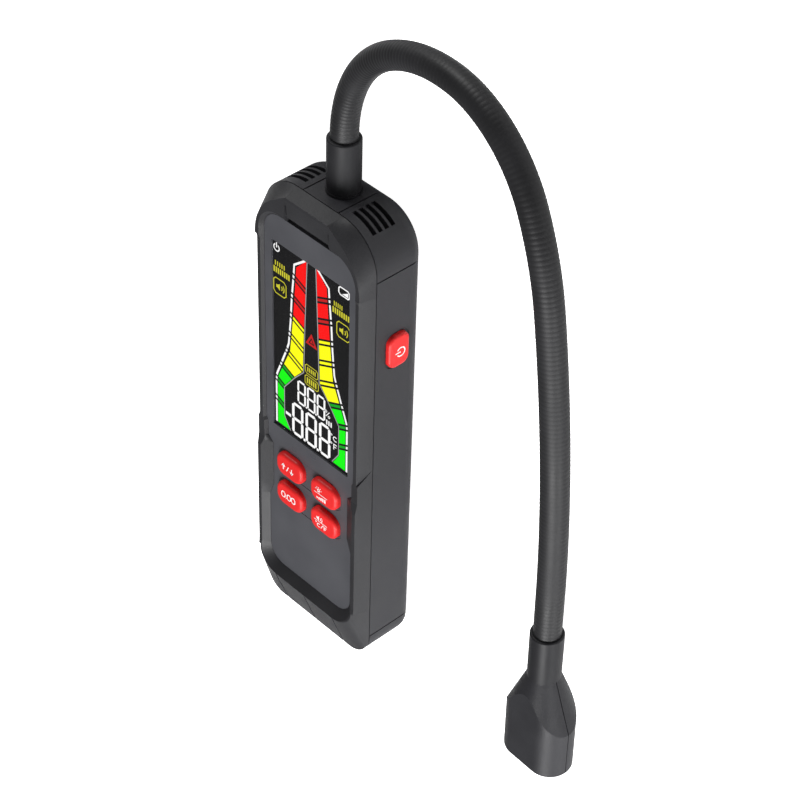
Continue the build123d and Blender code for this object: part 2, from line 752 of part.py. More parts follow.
# Keys: a crowned cap, a flange under the deck and a plunger over the switch
def front_key(x, y, name):
    """One front key at rest."""
    top = body_depth + key_proud
    flange_top = deck_floor - 0.1
    flange_floor = flange_top - key_flange_thickness
    with BuildPart() as key:
        with BuildSketch(Plane.XY.offset(flange_top)):
            with Locations((x, y)):
                RectangleRounded(key_width, key_height, key_radius)
        extrude(amount=top - flange_top)
        fillet(key.edges().group_by(Axis.Z)[-1], key_crown)
        with BuildSketch(Plane.XY.offset(flange_floor)):
            with Locations((x, y)):
                RectangleRounded(key_width + 2 * key_flange, key_height + 2 * key_flange, key_radius)
        extrude(amount=key_flange_thickness)
        with BuildSketch(Plane.XY.offset(plunger_tip)):
            with Locations((x, y)):
                Circle(plunger_radius)
        extrude(amount=flange_floor - plunger_tip)
    key.part.label = name
    return key.part


for row, names in zip(key_rows, key_names):
    for column, name in zip(key_columns, names):
        export_step(front_key(column, row, name), f"parts/{name}.step")

key_face = half_width + power_key_proud
flange_face = half_width - wall - key_fit
switch_face = flange_face - key_flange_thickness - power_plunger - key_travel - switch_gap
with BuildPart() as power_key:
    with BuildSketch(Plane.YZ.offset(flange_face)):
        with Locations((power_key_y, power_key_height)):
            RectangleRounded(power_key_length, power_key_width, power_key_radius)
    extrude(amount=key_face - flange_face)
    fillet(power_key.edges().group_by(Axis.X)[-1], power_key_crown)
    with BuildSketch(Plane.YZ.offset(flange_face - key_flange_thickness)):
        with Locations((power_key_y, power_key_height)):
            RectangleRounded(power_key_length + 2 * key_flange, power_key_width, power_key_radius)
    extrude(amount=key_flange_thickness)
    with BuildSketch(Plane.YZ.offset(flange_face - key_flange_thickness - power_plunger)):
        with Locations((power_key_y, power_key_height)):
            Circle(plunger_radius)
    extrude(amount=power_plunger)
power_key.part.label = "power_key"
export_step(power_key.part, "parts/power_key.step")

# Main board with its switches, buzzer, humidity sensor and the plug of the sensor lead
with BuildPart() as main_board:
    with BuildSketch(Plane.XY.offset(board_height)):
        with Locations((0, board_bottom)):
            Rectangle(2 * board_half, board_top - board_bottom, align=(Align.CENTER, Align.MIN))
    extrude(amount=board_thickness)
main_board.part.label = "main_board"
export_step(main_board.part, "parts/main_board.step")

with BuildPart() as key_switches:
    with BuildSketch(Plane.XY.offset(board_face)):
        with Locations(*[(column, row) for row in key_rows for column in key_columns]):
            Rectangle(switch_size, switch_size)
    extrude(amount=switch_height)
    with BuildSketch(Plane.XY.offset(board_face + switch_height)):
        with Locations(*[(column, row) for row in key_rows for column in key_columns]):
            Circle(plunger_radius + plunger_fit)
    extrude(amount=-switch_bore, mode=Mode.SUBTRACT)
key_switches.part.label = "key_switches"
export_step(key_switches.part, "parts/key_switches.step")

with BuildPart() as power_switch:
    with BuildSketch(Plane.XY.offset(board_height)):
        with Locations((switch_face - power_switch_button, power_key_y)):
            Rectangle(power_switch_depth, power_switch_length, align=(Align.MAX, Align.CENTER))
    extrude(amount=power_key_height - board_height - power_switch_length / 2)
    with BuildSketch(Plane.YZ.offset(switch_face - power_switch_button)):
        with Locations((power_key_y, power_key_height)):
            Circle(plunger_radius)
    extrude(amount=power_switch_button)
power_switch.part.label = "power_switch"
export_step(power_switch.part, "parts/power_switch.step")

with BuildPart() as buzzer:
    with BuildSketch(Plane.XY.offset(board_height)):
        with Locations((-buzzer_reach, buzzer_y)):
            Circle(buzzer_radius)
    extrude(amount=-buzzer_height)
    with BuildSketch(Plane.XY.offset(board_height - buzzer_height)):
        with Locations((-buzzer_reach, buzzer_y)):
            Circle(buzzer_radius / 6)
    extrude(amount=2, mode=Mode.SUBTRACT)
buzzer.part.label = "buzzer"
export_step(buzzer.part, "parts/buzzer.step")

with BuildPart() as humidity_sensor:
    with BuildSketch(Plane.XY.offset(board_height)):
        with Locations((buzzer_reach, buzzer_y)):
            Rectangle(humidity_size, humidity_size)
    extrude(amount=-humidity_height)
    with BuildSketch(Plane.XY.offset(board_height - humidity_height)):
        with Locations((buzzer_reach, buzzer_y)):
            Circle(humidity_size / 4)
    extrude(amount=1, mode=Mode.SUBTRACT)
humidity_sensor.part.label = "humidity_sensor"
export_step(humidity_sensor.part, "parts/humidity_sensor.step")

with BuildPart() as lead_connector:
    with BuildSketch(Plane.XY.offset(board_height)):
        with Locations((0, board_top)):
            Rectangle(plug_size, plug_size, align=(Align.CENTER, Align.MAX))
    extrude(amount=neck_height - lead_radius - board_height)
lead_connector.part.label = "lead_connector"
export_step(lead_connector.part, "parts/lead_connector.step")

# Battery cells, pointing up and down in turn, and the contacts at both ends of the bay
cell_pitch = 2 * cell_radius + cell_gap
cell_columns = [(column - (cell_count - 1) / 2) * cell_pitch for column in range(cell_count)]

with BuildPart() as battery_cells:
    for column, x in enumerate(cell_columns):
        up = 1 if column % 2 else -1
        start = bay_middle - up * cell_length / 2
        cell_plane = Plane((x, start, cell_height), x_dir=(1, 0, 0), z_dir=(0, up, 0))
        with BuildSketch(cell_plane):
            Circle(cell_radius)
        extrude(amount=cell_length - cell_nub)
        with BuildSketch(cell_plane.offset(cell_length - cell_nub)):
            Circle(cell_nub_radius)
        extrude(amount=cell_nub)
battery_cells.part.label = "battery_cells"
export_step(battery_cells.part, "parts/battery_cells.step")

with BuildPart() as battery_contacts:
    for x in cell_columns:
        for end, way in ((bay_bottom, 1), (bay_top, -1)):
            plate = Plane((x, end, cell_height), x_dir=(1, 0, 0), z_dir=(0, way, 0))
            with BuildSketch(plate):
                Rectangle(contact_size, contact_size)
            extrude(amount=contact_thickness)
            with BuildSketch(plate.offset(contact_thickness)):
                Circle(contact_size / 3)
            extrude(amount=contact_depth - contact_thickness, taper=20)
battery_contacts.part.label = "battery_contacts"
export_step(battery_contacts.part, "parts/battery_contacts.step")


def pan_screw(x, y, seat, head, tip):
    """A screw driven from the back: its head rests below a face at a height, its tip points up."""
    with BuildPart(mode=Mode.PRIVATE) as screw:
        with BuildSketch(Plane.XY.offset(seat - head)):
            with Locations((x, y)):
                Circle(screw_head_radius)
        extrude(amount=head)
        chamfer(screw.edges().group_by(Axis.Z)[0], head / 4)
        with BuildSketch(Plane.XY.offset(seat - head)):
            with Locations((x, y)):
                Rectangle(cross_length, cross_width)
                Rectangle(cross_width, cross_length)
        extrude(amount=0.6 * head, mode=Mode.SUBTRACT)
        with BuildSketch(Plane.XY.offset(seat)):
            with Locations((x, y)):
                Circle(screw_radius)
        extrude(amount=tip - seat)
    return screw.part


with BuildPart() as case_screws:
    for x, y in boss_spots:
        add(pan_screw(x, y, screw_seat, screw_head_height, screw_tip))
case_screws.part.label = "case_screws"
export_step(case_screws.part, "parts/case_screws.step")

with BuildPart() as cover_screw:
    add(pan_screw(0, cover_screw_y, cover_screw_seat, cover_screw_seat - 0.1, post_split - 0.6))
cover_screw.part.label = "cover_screw"
export_step(cover_screw.part, "parts/cover_screw.step")


def neck_plane(y, way=1):
    """Plane across the collar's axis, a distance along the housing."""
    return Plane((0, y, neck_height), x_dir=(1, 0, 0), z_dir=(0, way, 0))


# Collar on the roof: its shank goes through the wall and a nut holds it from inside
collar_top = collar_seat + collar_length
neck_start = collar_top - neck_insert

with BuildPart() as collar:
    with BuildSketch(neck_plane(collar_seat)):
        Circle(collar_radius)
    extrude(amount=collar_length)
    fillet(collar.edges().group_by(Axis.Y)[-1], collar_lip)
    with BuildSketch(neck_plane(collar_seat)):
        Circle(collar_flange_radius)
    extrude(amount=collar_flange)
    with BuildSketch(neck_plane(collar_seat)):
        Circle(shank_radius)
    extrude(amount=-shank_length)
    with BuildSketch(neck_plane(neck_start)):
        Circle(neck_radius + neck_fit)
    extrude(amount=collar_length, mode=Mode.SUBTRACT)
    with BuildSketch(neck_plane(collar_seat - shank_length)):
        Circle(lead_radius + lead_fit)
    extrude(amount=collar_length, mode=Mode.SUBTRACT)
collar.part.label = "collar"
export_step(collar.part, "parts/collar.step")

with BuildPart() as collar_nut:
    with BuildSketch(neck_plane(nut_face, -1)):
        RegularPolygon(nut_across / 2, 6, major_radius=False)
        Circle(shank_radius + screw_fit, mode=Mode.SUBTRACT)
    extrude(amount=nut_height)
collar_nut.part.label = "collar_nut"
export_step(collar_nut.part, "parts/collar_nut.step")

# Gooseneck: an outer wound sleeve over a steel hose, with the sensor's lead inside
bend_plane = Plane((0, 0, neck_height),
                   x_dir=(cos(radians(neck_swing)), 0, sin(radians(neck_swing))),
                   z_dir=(-sin(radians(neck_swing)), 0, cos(radians(neck_swing))))


def neck_path(start, tail):
    """Middle line of the gooseneck from a place on the collar's axis to a straight tail."""
    with BuildLine(bend_plane) as path:
        last = Line((0, start), (0, collar_top + neck_lead))
        for radius, turn in neck_bends:
            last = JernArc(start=last @ 1, tangent=last % 1, radius=radius, arc_size=-turn)
        Line(last @ 1, last @ 1 + (last % 1) * tail)
    return path


def neck_pipe(path, outer, inner):
    """A round pipe along the gooseneck; an inner radius of zero makes it solid."""
    with BuildPart(mode=Mode.PRIVATE) as pipe:
        with BuildSketch(Plane(path.wires()[0] @ 0, z_dir=path.wires()[0] % 0)):
            Circle(outer)
            if inner:
                Circle(inner, mode=Mode.SUBTRACT)
        sweep(path=path.wires()[0])
    return pipe.part


whole_neck = neck_path(neck_start, neck_tail + neck_insert)
with BuildPart() as gooseneck_sleeve:
    add(neck_pipe(whole_neck, neck_radius, neck_radius - neck_wall))
gooseneck_sleeve.part.label = "gooseneck_sleeve"
export_step(gooseneck_sleeve.part, "parts/gooseneck_sleeve.step")

with BuildPart() as gooseneck_core:
    add(neck_pipe(whole_neck, hose_radius, hose_radius - hose_wall))
gooseneck_core.part.label = "gooseneck_core"
export_step(gooseneck_core.part, "parts/gooseneck_core.step")

lead_path = neck_path(board_top, neck_tail + ferrule_length + head_board_depth)
with BuildPart() as sensor_lead:
    add(neck_pipe(lead_path, lead_radius, 0))
sensor_lead.part.label = "sensor_lead"
export_step(sensor_lead.part, "parts/sensor_lead.step")

# Sensor head: its own frame starts at the top of the head, with z towards its lower end
neck_end = whole_neck.wires()[0] @ 1
neck_way = whole_neck.wires()[0] % 1
head_yaw = radians(neck_swing - head_turn)
head_top = Plane(neck_end + neck_way * (ferrule_length - neck_insert),
                 x_dir=(cos(head_yaw), 0, sin(head_yaw)), z_dir=neck_way)
head_axis = Axis(head_top.origin, head_top.z_dir)
ferrule_top = head_top.offset(-ferrule_length)

with BuildPart() as head_ferrule:
    with BuildSketch(ferrule_top):
        Circle(ferrule_radius)
    extrude(amount=ferrule_length)
    fillet(head_ferrule.edges().sort_by(Axis.Y)[-1], collar_lip)
    with BuildSketch(head_top):
        Circle(stub_radius)
    extrude(amount=stub_length + stub_flange)
    with BuildSketch(head_top.offset(stub_length)):
        Circle(stub_flange_radius)
    extrude(amount=stub_flange)
    with BuildSketch(ferrule_top):
        Circle(neck_radius + neck_fit)
    extrude(amount=neck_insert, mode=Mode.SUBTRACT)
    with BuildSketch(ferrule_top):
        Circle(lead_radius + lead_fit)
    extrude(amount=ferrule_length + stub_length + stub_flange, mode=Mode.SUBTRACT)
head_ferrule.part.label = "head_ferrule"
export_step(head_ferrule.part, "parts/head_ferrule.step")

with BuildPart() as head_shell:
    with BuildSketch(head_top):
        SlotOverall(head_width, head_thickness)
    extrude(amount=head_length)
    fillet(head_shell.edges().group_by(head_axis)[-1], head_edge)
    with BuildSketch(head_top):
        Circle(head_neck_radius)
    extrude(amount=head_length, taper=-head_flare, mode=Mode.INTERSECT)
    # Room for the sensor below the board, a narrower well above it and the hole of the ferrule
    with BuildSketch(head_top.offset(head_board_depth)):
        SlotOverall(head_width - 2 * head_wall, head_thickness - 2 * head_wall)
    extrude(amount=head_length - head_wall - head_board_depth, mode=Mode.SUBTRACT)
    with BuildSketch(head_top.offset(stub_length)):
        Circle(stub_flange_radius + stub_fit)
    extrude(amount=head_board_depth - stub_length, mode=Mode.SUBTRACT)
    with BuildSketch(head_top):
        Circle(stub_radius + stub_fit)
    extrude(amount=stub_length, mode=Mode.SUBTRACT)
    # Slots of uneven height in both faces, round at the top and open at the lower end
    for side in (-1, 1):
        slot_floor = head_top.location * Plane(origin=(0, side * (head_thickness / 2 - slot_reach), 0),
                                               x_dir=(1, 0, 0), z_dir=(0, side, 0))
        with BuildSketch(slot_floor):
            for place, height in enumerate(slot_heights):
                with Locations((place * slot_pitch - slot_start, -side * head_length)):
                    SlotOverall(2 * height, slot_width, rotation=90)
        extrude(amount=slot_reach, mode=Mode.SUBTRACT)


def head_half(side):
    """The part of the head's shell on one side of its parting line."""
    with BuildPart(mode=Mode.PRIVATE) as half:
        with BuildSketch(head_top):
            with Locations((0, side * (head_split + head_width) / 2)):
                Rectangle(2 * head_width, head_width)
        extrude(amount=head_length)
        add(head_shell.part, mode=Mode.INTERSECT)
    return half.part


with BuildPart() as head_front_half:
    add(head_half(1))
head_front_half.part.label = "head_front_half"
export_step(head_front_half.part, "parts/head_front_half.step")

with BuildPart() as head_rear_half:
    add(head_half(-1))
head_rear_half.part.label = "head_rear_half"
export_step(head_rear_half.part, "parts/head_rear_half.step")

# Board on the ledge inside the head, and the gas sensor's can below it
with BuildPart() as sensor_board:
    with BuildSketch(head_top.offset(head_board_depth)):
        SlotOverall(head_board_width, head_board_height)
    extrude(amount=head_board_thickness)
sensor_board.part.label = "sensor_board"
export_step(sensor_board.part, "parts/sensor_board.step")

with BuildPart() as gas_sensor:
    with BuildSketch(head_top.offset(head_board_depth + head_board_thickness)):
        Circle(sensor_radius)
    extrude(amount=sensor_length)
    fillet(gas_sensor.edges().group_by(head_axis)[-1], 0.6)
    with BuildSketch(head_top.offset(head_board_depth + head_board_thickness)):
        Circle(sensor_radius + sensor_flange)
    extrude(amount=sensor_flange)
gas_sensor.part.label = "gas_sensor"
export_step(gas_sensor.part, "parts/gas_sensor.step")
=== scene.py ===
from math import cos, pi, radians, sin, sqrt

import bmesh
import bpy
from mathutils import Matrix, Vector


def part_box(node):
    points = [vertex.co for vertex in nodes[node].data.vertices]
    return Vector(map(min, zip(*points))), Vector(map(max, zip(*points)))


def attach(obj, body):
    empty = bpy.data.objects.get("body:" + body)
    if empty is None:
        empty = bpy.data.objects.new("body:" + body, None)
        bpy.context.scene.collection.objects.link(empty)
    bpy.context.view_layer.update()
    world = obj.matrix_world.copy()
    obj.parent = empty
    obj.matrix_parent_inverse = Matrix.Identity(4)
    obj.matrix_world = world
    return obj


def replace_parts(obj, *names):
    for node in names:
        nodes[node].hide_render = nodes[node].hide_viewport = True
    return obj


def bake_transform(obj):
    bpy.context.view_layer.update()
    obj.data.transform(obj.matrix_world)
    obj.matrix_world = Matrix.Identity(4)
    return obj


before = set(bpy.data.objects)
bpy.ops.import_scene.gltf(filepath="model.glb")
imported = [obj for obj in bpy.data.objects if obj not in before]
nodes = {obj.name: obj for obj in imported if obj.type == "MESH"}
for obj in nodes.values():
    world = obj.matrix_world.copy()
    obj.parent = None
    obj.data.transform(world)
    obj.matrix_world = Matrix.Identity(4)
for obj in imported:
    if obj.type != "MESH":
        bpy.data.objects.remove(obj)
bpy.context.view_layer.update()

MM = 0.001


# Small helpers for boxes, meshes and node trees

def span(node):
    """Lowest and highest corner of a CAD node, in millimetres."""
    low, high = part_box(node)
    return [value / MM for value in low], [value / MM for value in high]


def new_object(name, mesh, material, body):
    """Links a finished mesh as one piece of the object."""
    piece = bpy.data.objects.new(name, mesh)
    bpy.context.scene.collection.objects.link(piece)
    mesh.materials.append(material)
    if body:
        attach(piece, body)
    return piece


def shade_smooth(mesh):
    for polygon in mesh.polygons:
        polygon.use_smooth = True


class Look:
    """A procedural material: nodes are added by type and linked by socket name."""

    def __init__(self, name):
        self.material = bpy.data.materials.new(name)
        self.material.use_nodes = True
        self.tree = self.material.node_tree
        self.shader = self.tree.nodes["Principled BSDF"]
        self.place = self.add("ShaderNodeTexCoord").outputs["Object"]

    def add(self, kind, **settings):
        node = self.tree.nodes.new(kind)
        for key, value in settings.items():
            setattr(node, key, value)
        return node

    def link(self, source, target):
        self.tree.links.new(source, target)

    def put(self, target, value):
        """Links a socket to the target, or sets the target to a plain value."""
        if isinstance(value, bpy.types.NodeSocket):
            self.link(value, target)
        else:
            target.default_value = value

    def noise(self, scale, detail=4.0, roughness=0.55):
        node = self.add("ShaderNodeTexNoise")
        self.link(self.place, node.inputs["Vector"])
        node.inputs["Scale"].default_value = scale
        node.inputs["Detail"].default_value = detail
        node.inputs["Roughness"].default_value = roughness
        return node.outputs["Fac"]

    def math(self, operation, first, second=0.0, third=0.0):
        node = self.add("ShaderNodeMath", operation=operation)
        for socket, value in zip(node.inputs, (first, second, third)):
            self.put(socket, value)
        return node.outputs[0]

    def spread(self, value, low, high, start=0.3, end=0.7):
        """Maps a pattern from start...end to low...high."""
        node = self.add("ShaderNodeMapRange")
        self.put(node.inputs["Value"], value)
        node.inputs["From Min"].default_value = start
        node.inputs["From Max"].default_value = end
        self.put(node.inputs["To Min"], low)
        self.put(node.inputs["To Max"], high)
        return node.outputs["Result"]

    def blend(self, share, first, second):
        node = self.add("ShaderNodeMix", data_type="RGBA")
        self.put(node.inputs["Factor"], share)
        for socket, value in ((node.inputs[6], first), (node.inputs[7], second)):
            self.put(socket, value if isinstance(value, bpy.types.NodeSocket) else (*value, 1.0))
        return node.outputs[2]

    def axes(self):
        node = self.add("ShaderNodeSeparateXYZ")
        self.link(self.place, node.inputs[0])
        return node.outputs

    def bump(self, height, distance, strength=1.0, normal=None):
        node = self.add("ShaderNodeBump")
        node.inputs["Strength"].default_value = strength
        node.inputs["Distance"].default_value = distance
        self.link(height, node.inputs["Height"])
        if normal:
            self.link(normal, node.inputs["Normal"])
        return node.outputs["Normal"]

    def set(self, **values):
        """Sets or links inputs of the shader; underscores stand for spaces."""
        for key, value in values.items():
            self.put(self.shader.inputs[key.replace("_", " ")], value)
        return self


def moulded(name, dark, light, roughness=0.5, grain=0.0006, depth=0.00004, specular=0.5, rough_play=0.08):
    """Moulded plastic or rubber: fine grain in the surface, slow changes of tone and of gloss."""
    look = Look(name)
    slow = look.noise(45.0, 3.0)
    fine = look.noise(1.0 / grain, 3.0, 0.6)
    colour = look.blend(look.spread(slow, 0.0, 1.0), dark, light)
    look.set(Base_Color=colour, Roughness=look.spread(slow, roughness - rough_play, roughness + rough_play),
             Specular_IOR_Level=specular)
    look.set(Normal=look.bump(fine, depth))
    return look


def painted(look, low, high, colour, roughness):
    """Gives another colour to the faces of a moulded piece that lie inside a box."""
    inside = 1.0
    for socket, start, end in zip(look.axes(), low, high):
        middle, half = (start + end) / 2, (end - start) / 2
        near = look.math("ABSOLUTE", look.math("SUBTRACT", socket, middle * MM))
        inside = look.math("MULTIPLY", look.math("LESS_THAN", near, half * MM), inside)
    shader = look.shader
    tone = shader.inputs["Base Color"].links[0].from_socket
    gloss = shader.inputs["Roughness"].links[0].from_socket
    look.set(Base_Color=look.blend(inside, tone, colour), Roughness=look.spread(inside, gloss, roughness, 0.0, 1.0))


def dress(material, *names):
    """Gives a material to CAD nodes."""
    for name in names:
        slots = nodes[name].material_slots
        if not len(slots):
            nodes[name].data.materials.append(material)
        for slot in nodes[name].material_slots:
            slot.material = material


class Drawing:
    """Flat artwork on one plane: plates of one thickness, given by points to the right and up."""

    def __init__(self, origin, right, up, out, thickness):
        self.origin, self.right, self.up = Vector(origin), Vector(right), Vector(up)
        self.rise = Vector(out) * thickness
        self.bm = bmesh.new()

    def corners(self, points):
        """Two rings of vertices, on the plane and over it."""
        low = [self.origin + x * self.right + y * self.up for x, y in points]
        return ([self.bm.verts.new(place * MM) for place in low],
                [self.bm.verts.new((place + self.rise) * MM) for place in low])

    def fill(self, points):
        low, high = self.corners(points)
        self.bm.faces.new(low)
        self.bm.faces.new(high)
        join_rings(self.bm, low, high)

    def line(self, points, width, closed=False):
        """A stroke with mitred corners, open or closed."""
        points = [Vector(point) for point in points]
        count = len(points)
        sides = ([], [])
        for index, point in enumerate(points):
            before, after = points[index - 1], points[(index + 1) % count]
            if not closed and index == 0:
                before = 2 * point - after
            if not closed and index == count - 1:
                after = 2 * point - before
            first, second = (point - before).normalized(), (after - point).normalized()
            reach = first.orthogonal() + second.orthogonal()
            reach *= width / (2 + 2 * first.dot(second))
            sides[0].append(point + reach)
            sides[1].append(point - reach)
        low_left, high_left = self.corners(sides[0])
        low_right, high_right = self.corners(sides[1])
        walls = (low_left, high_left, high_right, low_right)
        for index in range(count if closed else count - 1):
            other = (index + 1) % count
            for wall, next_wall in zip(walls, walls[1:] + walls[:1]):
                self.bm.faces.new((wall[index], wall[other], next_wall[other], next_wall[index]))
        if not closed:
            self.bm.faces.new([wall[0] for wall in walls])
            self.bm.faces.new([wall[-1] for wall in walls])

    def arc(self, centre, radius, start, end, width, steps=14):
        """Part of a circle, from one angle to another in degrees, or a whole one."""
        closed = end - start >= 360
        angles = [radians(start + (end - start) * step / steps) for step in range(steps + (not closed))]
        self.line([(centre[0] + radius * cos(angle), centre[1] + radius * sin(angle)) for angle in angles],
                  width, closed)

    def frame(self, left, bottom, right, top, width, cut=0.9):
        """A rectangle with cut corners."""
        self.line([(left + cut, bottom), (right - cut, bottom), (right, bottom + cut), (right, top - cut),
                   (right - cut, top), (left + cut, top), (left, top - cut), (left, bottom + cut)], width, True)

    def bars(self, left, bottom, width, height, count, share=0.6):
        """A row of upright bars."""
        pitch = width / count
        for index in range(count):
            low = left + index * pitch
            high = low + share * pitch
            self.fill([(low, bottom), (high, bottom), (high, bottom + height), (low, bottom + height)])

    def digit(self, left, bottom, width, height, stroke, gap=0.12):
        """A figure eight of seven bevelled strokes."""
        half = stroke / 2
        low_x, high_x = left + half, left + width - half
        rows = [bottom + half, bottom + height / 2, bottom + height - half]
        for row in rows:
            start, end = low_x + gap, high_x - gap
            self.fill([(start, row), (start + half, row - half), (end - half, row - half),
                       (end, row), (end - half, row + half), (start + half, row + half)])
        for x in (low_x, high_x):
            for low, high in zip(rows, rows[1:]):
                start, end = low + gap, high - gap
                self.fill([(x, start), (x + half, start + half), (x + half, end - half),
                           (x, end), (x - half, end - half), (x - half, start + half)])

    def speaker(self, x, y, size):
        """A loudspeaker with two sound waves, size wide from its back to the far wave."""
        self.fill([(x, y - 0.16 * size), (x + 0.2 * size, y - 0.16 * size), (x + 0.45 * size, y - 0.36 * size),
                   (x + 0.45 * size, y + 0.36 * size), (x + 0.2 * size, y + 0.16 * size), (x, y + 0.16 * size)])
        for reach in (0.35, 0.6):
            self.arc((x + 0.4 * size, y), reach * size, -38, 38, 0.1 * size, 8)

    def finish(self, name, material, slot, body):
        bmesh.ops.recalc_face_normals(self.bm, faces=self.bm.faces)
        mesh = bpy.data.meshes.new(name)
        self.bm.to_mesh(mesh)
        self.bm.free()
        return new_object(name, mesh, material.material, body)


def join_rings(bm, low, high):
    for side in range(len(low)):
        other = (side + 1) % len(low)
        bm.faces.new((low[side], low[other], high[other], high[side]))


# Materials

shell_look = moulded("textured_shell", (0.016, 0.016, 0.018), (0.024, 0.024, 0.027), 0.5, 0.0005, 0.00006, 0.3)
rear_look = moulded("textured_rear", (0.018, 0.018, 0.021), (0.025, 0.025, 0.029), 0.52, 0.0005, 0.00005, 0.3)
cover_look = moulded("textured_cover", (0.026, 0.026, 0.028), (0.038, 0.038, 0.040), 0.55, 0.0005, 0.00005)
panel_look = moulded("satin_panel", (0.055, 0.056, 0.064), (0.072, 0.073, 0.082), 0.34, 0.0009, 0.000008)
key_look = moulded("red_rubber", (0.64, 0.014, 0.014), (0.74, 0.022, 0.022), 0.42, 0.0012, 0.00001, 0.25)
neck_look = moulded("neck_sleeve", (0.013, 0.013, 0.014), (0.020, 0.020, 0.022), 0.5, 0.0008, 0.00001, 0.22)
hose_look = moulded("steel_hose", (0.42, 0.42, 0.43), (0.56, 0.56, 0.57), 0.35, 0.0008, 0.00001)
hose_look.set(Metallic=1.0)
lead_look = moulded("lead_jacket", (0.010, 0.010, 0.011), (0.02, 0.02, 0.022), 0.6)
ferrule_look = moulded("black_ferrule", (0.014, 0.014, 0.016), (0.020, 0.020, 0.022), 0.5, 0.0010, 0.00001, 0.15)
head_look = moulded("sensor_head", (0.020, 0.020, 0.023), (0.028, 0.028, 0.032), 0.5, 0.0006, 0.00006, 0.22)
steel_look = moulded("screw_steel", (0.45, 0.45, 0.46), (0.6, 0.6, 0.6), 0.3, 0.0004, 0.00001)
steel_look.set(Metallic=1.0)
can_look = moulded("sensor_can", (0.5, 0.5, 0.48), (0.62, 0.62, 0.6), 0.3, 0.0004, 0.00001)
can_look.set(Metallic=1.0)
board_look = moulded("board", (0.008, 0.10, 0.035), (0.014, 0.16, 0.055), 0.4, 0.0012, 0.00002)
black_part_look = moulded("black_components", (0.014, 0.014, 0.014), (0.024, 0.024, 0.024), 0.55)
white_part_look = moulded("white_components", (0.6, 0.6, 0.57), (0.72, 0.72, 0.69), 0.5)
cell_look = moulded("battery_wrap", (0.03, 0.10, 0.30), (0.05, 0.14, 0.38), 0.35, 0.002, 0.00001)
contact_look = moulded("contact_metal", (0.55, 0.5, 0.36), (0.68, 0.62, 0.46), 0.28, 0.0005, 0.00001)
contact_look.set(Metallic=1.0)
lcd_look = moulded("dark_display", (0.007, 0.007, 0.0075), (0.010, 0.010, 0.0105), 0.5, 0.002, 0.000002, 0.08)
holder_look = moulded("display_holder", (0.55, 0.56, 0.56), (0.66, 0.67, 0.67), 0.6)


def lit_print(name, colour, glow):
    """Back-lit display print: it glows in a clean colour with slow unevenness."""
    look = Look(name)
    dimmer = tuple(0.93 * channel for channel in colour)
    tone = look.blend(look.spread(look.noise(220.0), 0.0, 1.0), dimmer, colour)
    dark = tuple(0.15 * channel for channel in colour)
    look.set(Base_Color=look.blend(look.noise(300.0), dark, dark), Emission_Color=tone,
             Emission_Strength=glow, Roughness=0.6, Specular_IOR_Level=0.2)
    return look


white_print = lit_print("white_print", (1.0, 1.0, 1.0), 0.95)
grey_print = lit_print("grey_print", (0.40, 0.40, 0.41), 0.9)
amber_print = lit_print("amber_print", (0.66, 0.62, 0.03), 0.9)
red_print = lit_print("red_print", (1.0, 0.0, 0.0), 0.98)
dim_red_print = lit_print("dim_red_print", (0.56, 0.008, 0.008), 0.95)
yellow_print = lit_print("yellow_print", (1.0, 1.0, 0.0), 0.98)
green_print = lit_print("green_print", (0.0, 0.92, 0.0), 0.98)
dim_green_print = lit_print("dim_green_print", (0.0, 0.38, 0.01), 0.95)
legend_print = moulded("legend_ink", (0.78, 0.74, 0.74), (0.88, 0.84, 0.84), 0.45, 0.0008, 0.000004)

window_look = Look("display_window")
window_look.set(Base_Color=window_look.blend(window_look.spread(window_look.noise(60.0), 0.0, 1.0),
                                             (0.02, 0.02, 0.022), (0.03, 0.03, 0.033)),
                Roughness=0.15, Alpha=0.04, Specular_IOR_Level=0.1)

panel_low, panel_high = span("front_panel")
row_low, row_high = span("zero_key")[0], span("light_key")[1]
painted(shell_look, (row_low[0] - 1.2, row_low[1] - 1.2, panel_low[2]), (row_high[0] + 1.2, row_high[1] + 1.2,
        panel_high[2] + 0.1), (0.063, 0.064, 0.073), 0.36)
dress(shell_look.material, "front_shell")
dress(rear_look.material, "rear_shell")
dress(cover_look.material, "battery_cover")
dress(panel_look.material, "front_panel")
dress(window_look.material, "display_window")
dress(lcd_look.material, "lcd_module")
dress(holder_look.material, "display_holder")
dress(red_print.material, "gauge_red")
dress(yellow_print.material, "gauge_yellow")
dress(green_print.material, "gauge_green")
dress(white_print.material, "display_digits")
dress(key_look.material, "level_key", "light_key", "zero_key", "sound_key", "power_key")
dress(ferrule_look.material, "collar", "head_ferrule")
dress(head_look.material, "head_front_half", "head_rear_half")
dress(steel_look.material, "collar_nut", "case_screws", "cover_screw")
dress(can_look.material, "gas_sensor")
dress(board_look.material, "main_board", "sensor_board")
dress(black_part_look.material, "key_switches", "power_switch", "buzzer")
dress(white_part_look.material, "humidity_sensor", "lead_connector")
dress(cell_look.material, "battery_cells")
dress(contact_look.material, "battery_contacts")


# Display: artwork by depth below its top and by distance from its left edge or from its middle

